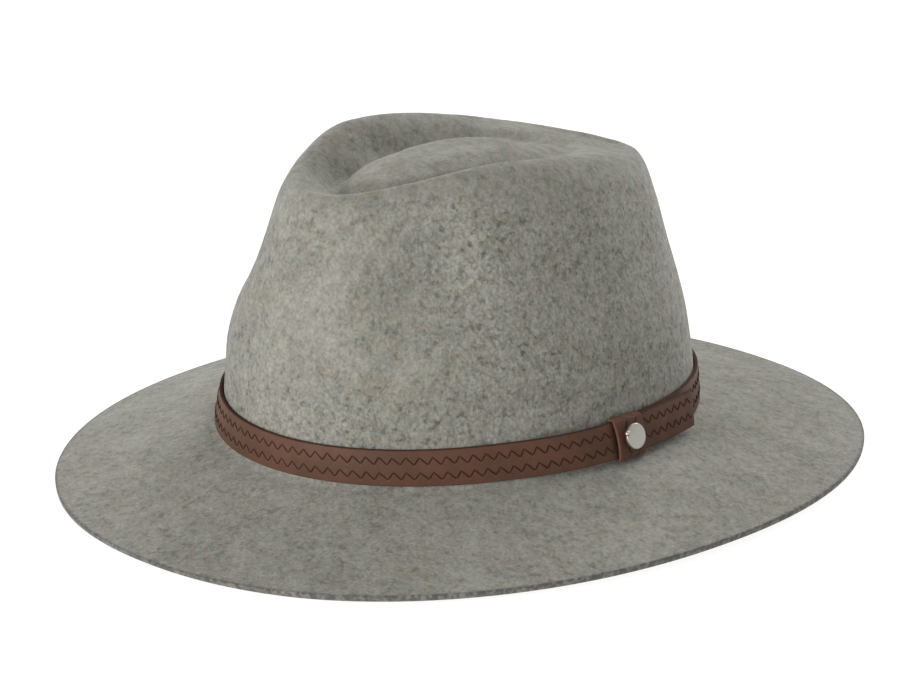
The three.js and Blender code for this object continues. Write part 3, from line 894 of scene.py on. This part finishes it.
def makeKeeper():
    shape = keeperShape
    middle = lengthAt(shape["angle"])
    bpy.ops.object.select_all(action="DESELECT")
    bpy.ops.mesh.primitive_cube_add(size=1, location=(
        middle, (keeperBack - keeperFront) / 2, (keeperLow + keeperHigh) / 2))
    keeper = bpy.context.object
    keeper.name = "keeper_leather"
    keeper.scale = (shape["width"], keeperBack + keeperFront, keeperHigh - keeperLow)
    settle(keeper)

    editMesh(keeper, "EDGE")
    bpy.ops.object.mode_set(mode="OBJECT")
    for edge in keeper.data.edges:
        a, b = (keeper.data.vertices[i].co for i in edge.vertices)
        edge.select = abs(a.x - b.x) > shape["width"] / 2
    bpy.ops.object.mode_set(mode="EDIT")
    bpy.ops.mesh.bevel(offset=shape["cornerRound"], segments=5, affect="EDGES")
    bpy.ops.mesh.select_mode(type="FACE")
    pickFaces(keeper, lambda centre, normal: abs(normal.x) > 0.9)
    bpy.ops.mesh.region_to_loop()
    bpy.ops.mesh.bevel(offset=shape["edgeRound"], segments=3, affect="EDGES")

    # the way through for the strap
    bpy.ops.mesh.select_mode(type="FACE")
    pickFaces(keeper, lambda centre, normal: abs(normal.x) > 0.99)
    bpy.ops.mesh.inset(thickness=shape["edgeWall"] - shape["edgeRound"], use_individual=True)
    wayOld = keeperFront + keeperBack - 2 * shape["edgeWall"]
    wayNew = strapRun["thickness"] + 2 * shape["gap"]
    centreOld, centreNew = (keeperBack - keeperFront) / 2, -strapRun["thickness"] / 2
    bpy.ops.transform.resize(value=(1, wayNew / wayOld, 1), center_override=(middle, centreOld, 0))
    bpy.ops.transform.translate(value=(0, centreNew - centreOld, 0))
    bpy.ops.mesh.bridge_edge_loops()
    step = shape["width"] / shape["slices"]
    for i in range(1, shape["slices"]):
        bpy.ops.mesh.select_all(action="SELECT")
        bpy.ops.mesh.bisect(plane_co=(middle - shape["width"] / 2 + i * step, 0, 0), plane_no=(1, 0, 0))
    step = (keeperHigh - keeperLow) / shape["levels"]
    for i in range(1, shape["levels"]):
        bpy.ops.mesh.select_all(action="SELECT")
        bpy.ops.mesh.bisect(plane_co=(0, 0, keeperLow + i * step), plane_no=(0, 0, 1))
    bpy.ops.mesh.select_all(action="SELECT")
    bpy.ops.mesh.normals_make_consistent(inside=False)
    stopEditing()
    for vertex in keeper.data.vertices:
        vertex.co.y -= keeperBulge(vertex.co)
    layOnStrap(keeper, strapRun["secondLayer"])
    selectOnly(keeper)
    bpy.ops.object.shade_smooth_by_angle(angle=math.radians(40))
    ends = (middle - shape["width"] / 2, middle + shape["width"] / 2)
    rows = [middle + row for row in keeperSewing["rows"]]
    leather = makeLeatherMaterial("brownKeeperLeather", keeperSewing, rows, ends)
    finishPiece(keeper, "keeper_loop", leather)


def makeKeeperStitches(model):
    sewing = keeperSewing
    middle = lengthAt(keeperShape["angle"])
    stitches = []
    for row in sewing["rows"]:
        for i in range(-4, 12):
            (upA, acrossA), (upB, acrossB) = holeAt(sewing, row, i), holeAt(sewing, row, i + 1)
            if upA < keeperLow + sewing["lowGap"] or upB > keeperHigh - sewing["highGap"]:
                continue
            stitches.append(sewStitch(
                model, Vector((middle + acrossA, -keeperFront, upA)),
                Vector((middle + acrossB, -keeperFront, upB))))
    rows = joinPieces(stitches, "keeper_stitching")
    for vertex in rows.data.vertices:
        vertex.co.y -= keeperShape["crown"] * crownShare(vertex.co.z, keeperLow, keeperHigh)
    layOnStrap(rows, strapRun["secondLayer"])
    return rows


print("keeper")
makeKeeper()
print("stitching")
stitchModel = makeStitchModel()
thread = makeThreadMaterial()
strapRows = makeStrapStitches(stitchModel)
keeperRows = makeKeeperStitches(stitchModel)
for rows, slotName in ((strapRows, "strap_leather"), (keeperRows, "keeper_leather")):
    selectOnly(rows)
    bpy.ops.object.shade_smooth()
    finishPiece(rows, None, thread)
bpy.data.objects.remove(stitchModel)


# Stud: a flat satin disc on a post, with a small peg at its edge

studShape = {
    "angle": 362.5, "height": 0.0079,      # its seat on the keeper's crowned face
    "discRadius": 0.0051, "discThickness": 0.0014, "discRound": 0.00035,
    "postRadius": 0.002, "postLength": 0.0015, "postFoot": 0.0003,
    "faceRings": 5, "ringStep": 0.0008, "ringRise": 0.000015,    # the disc's face crowns very slightly
    "pegRadius": 0.0011, "pegTurn": 156.0, "pegLevel": 0.0027,
    "seatGap": 0.0003,
}

metalLook = {
    "bright": (0.53, 0.515, 0.48, 1), "dull": (0.42, 0.41, 0.38, 1),
    "roughness": 0.45, "smudgeRough": 0.2, "smudgeUsual": 0.08,
    "scratchSize": 0.00035, "scratchDepth": 0.00003,
}


def makeMetalMaterial():
    look = metalLook
    material, tree, shader = newMaterial("polishedSilver", look["roughness"], Metallic=1.0)
    where = addNode(tree, "ShaderNodeTexCoord", -900, 0).outputs["Object"]
    marks = useGroup(tree, handlingMarks, -600, 0, {"Vector": where, "Scratch size": look["scratchSize"]})
    colour = mixColour(tree, marks.outputs["Smudges"], look["dull"], look["bright"], -200, 200)
    rough = multiply(tree, marks.outputs["Smudges"], look["smudgeRough"], -200, 0)
    rough = math2(tree, "ADD", rough, look["roughness"] - look["smudgeUsual"], 0, 0)
    bump = addNode(tree, "ShaderNodeBump", 0, -200, {
        "Strength": 0.25, "Distance": look["scratchDepth"], "Height": marks.outputs["Scratches"]})
    feed(tree, shader, {"Base Color": colour, "Roughness": rough, "Normal": bump.outputs[0]})
    return material


def makeStud():
    shape = studShape
    toFront = (math.pi / 2, 0, 0)
    bpy.ops.object.select_all(action="DESELECT")
    bpy.ops.mesh.primitive_cylinder_add(vertices=32, radius=shape["postRadius"], depth=shape["postLength"],
                                        location=(0, -shape["postLength"] / 2, 0), rotation=toFront)
    post = bpy.context.object
    settle(post)
    editMesh(post)
    pickFaces(post, lambda centre, normal: normal.y > 0.9)
    bpy.ops.mesh.inset(thickness=-shape["postFoot"])       # a small foot on the leather
    stopEditing()

    bpy.ops.object.select_all(action="DESELECT")
    depth = shape["discThickness"]
    bpy.ops.mesh.primitive_cylinder_add(vertices=72, radius=shape["discRadius"], depth=depth,
                                        location=(0, -shape["postLength"] - depth / 2, 0), rotation=toFront)
    disc = bpy.context.object
    settle(disc)
    editMesh(disc)
    pickFaces(disc, lambda centre, normal: abs(normal.y) > 0.9)
    bpy.ops.mesh.region_to_loop()
    bpy.ops.mesh.bevel(offset=shape["discRound"], segments=4, affect="EDGES")
    bpy.ops.mesh.select_mode(type="FACE")
    pickFaces(disc, lambda centre, normal: normal.y < -0.99)
    for i in range(shape["faceRings"]):
        bpy.ops.mesh.inset(thickness=shape["ringStep"])
        bpy.ops.transform.translate(value=(0, -shape["ringRise"] * (shape["faceRings"] - i), 0))
    stopEditing()

    turn = math.radians(shape["pegTurn"])
    bpy.ops.object.select_all(action="DESELECT")
    bpy.ops.mesh.primitive_uv_sphere_add(segments=24, ring_count=14, radius=shape["pegRadius"], location=(
        shape["discRadius"] * math.cos(turn), -shape["pegLevel"], shape["discRadius"] * math.sin(turn)))
    peg = bpy.context.object
    settle(peg)
    editMesh(peg)
    pickFaces(peg, lambda centre, normal: normal.y < -0.95)
    bpy.ops.transform.resize(value=(1.0, 0.9, 1.0))
    stopEditing()

    stud = joinPieces([disc, post, peg], "stud_metal")
    angle, height = shape["angle"], shape["height"]
    out = strapRun["secondLayer"] + keeperFront
    out += keeperShape["crown"] * crownShare(height, keeperLow, keeperHigh)
    seat = strapPoint(angle, out, height)
    along = (strapPoint(angle + 1, out, height) - seat).normalized()
    up = (strapPoint(angle, out, height + 0.001) - seat).normalized()
    inward = up.cross(along).normalized()
    up = along.cross(inward)
    turned = Matrix((along, inward, up)).transposed().to_4x4()
    stud.data.transform(Matrix.Translation(seat - inward * shape["seatGap"]) @ turned)
    selectOnly(stud)
    bpy.ops.object.shade_smooth_by_angle(angle=math.radians(30))
    finishPiece(stud, "stud", makeMetalMaterial())


print("stud")
makeStud()


# Floor, light and camera

stageLook = {
    "floorSize": 12.0, "floorLevel": -0.0004, "floor": (0.2, 0.2, 0.2, 1), "floorRoughness": 0.85,
    "glow": (1.0, 1.0, 0.995, 1), "glowStrength": 0.9,
    "world": (1.0, 1.0, 1.0, 1), "worldStrength": 0.58,
    "lampAim": (0, 0, 0.06),
    # name: (place, size, power in watts)
    "lamps": {
        "keyFront": ((0.1, -2.9, 0.72), 1.3, 70.0),
        "backLeft": ((-0.85, 2.57, 1.75), 1.8, 81.0),
    },
}

cameraPlan = {
    "azimuth": 45.93, "elevation": 19.07, "distance": 2.4,
    "lens": 233.6,                         # millimetres, on a 36 mm sensor
    "aim": (0.0, 0.0, 0.045), "aimUp": 0.00223, "aimRight": -0.00057,
}


def makeStage():
    look = stageLook
    bpy.ops.object.select_all(action="DESELECT")
    bpy.ops.mesh.primitive_plane_add(size=look["floorSize"], location=(0, 0, look["floorLevel"]))
    floor = bpy.context.object
    floor.name = "floor"
    material, tree, shader = newMaterial("palePaper", look["floorRoughness"], Specular_IOR_Level=0.1)
    shader.inputs["Base Color"].default_value = look["floor"]
    shader.inputs["Emission Color"].default_value = look["glow"]
    shader.inputs["Emission Strength"].default_value = look["glowStrength"]
    floor.data.materials.append(material)

    world = bpy.data.worlds.new("softStudio")
    world.use_nodes = True
    sky = world.node_tree.nodes["Background"]
    sky.inputs["Color"].default_value = look["world"]
    sky.inputs["Strength"].default_value = look["worldStrength"]
    scene.world = world

    for name, (place, size, power) in look["lamps"].items():
        lamp = bpy.data.lights.new(name, "AREA")
        lamp.size = size
        lamp.energy = power
        holder = bpy.data.objects.new(name, lamp)
        scene.collection.objects.link(holder)
        holder.location = place
        aim = Vector(look["lampAim"]) - Vector(place)
        holder.rotation_euler = aim.to_track_quat("-Z", "Y").to_euler()


def makeCamera():
    plan = cameraPlan
    azimuth, elevation = math.radians(plan["azimuth"]), math.radians(plan["elevation"])
    back = Vector((math.sin(azimuth) * math.cos(elevation), -math.cos(azimuth) * math.cos(elevation),
                   math.sin(elevation)))
    right = Vector((math.cos(azimuth), math.sin(azimuth), 0))
    up = back.cross(right)
    aim = Vector(plan["aim"]) + up * plan["aimUp"] + right * plan["aimRight"]
    lens = bpy.data.cameras.new("photoView")
    lens.lens = plan["lens"]
    lens.sensor_width = 36.0
    lens.clip_start, lens.clip_end = 0.05, 50.0
    camera = bpy.data.objects.new("photoView", lens)
    scene.collection.objects.link(camera)
    camera.location = aim + back * plan["distance"]
    camera.rotation_euler = (-back).to_track_quat("-Z", "Y").to_euler()
    scene.camera = camera


print("stage")
makeStage()
makeCamera()
scene.view_settings.view_transform = "Standard"
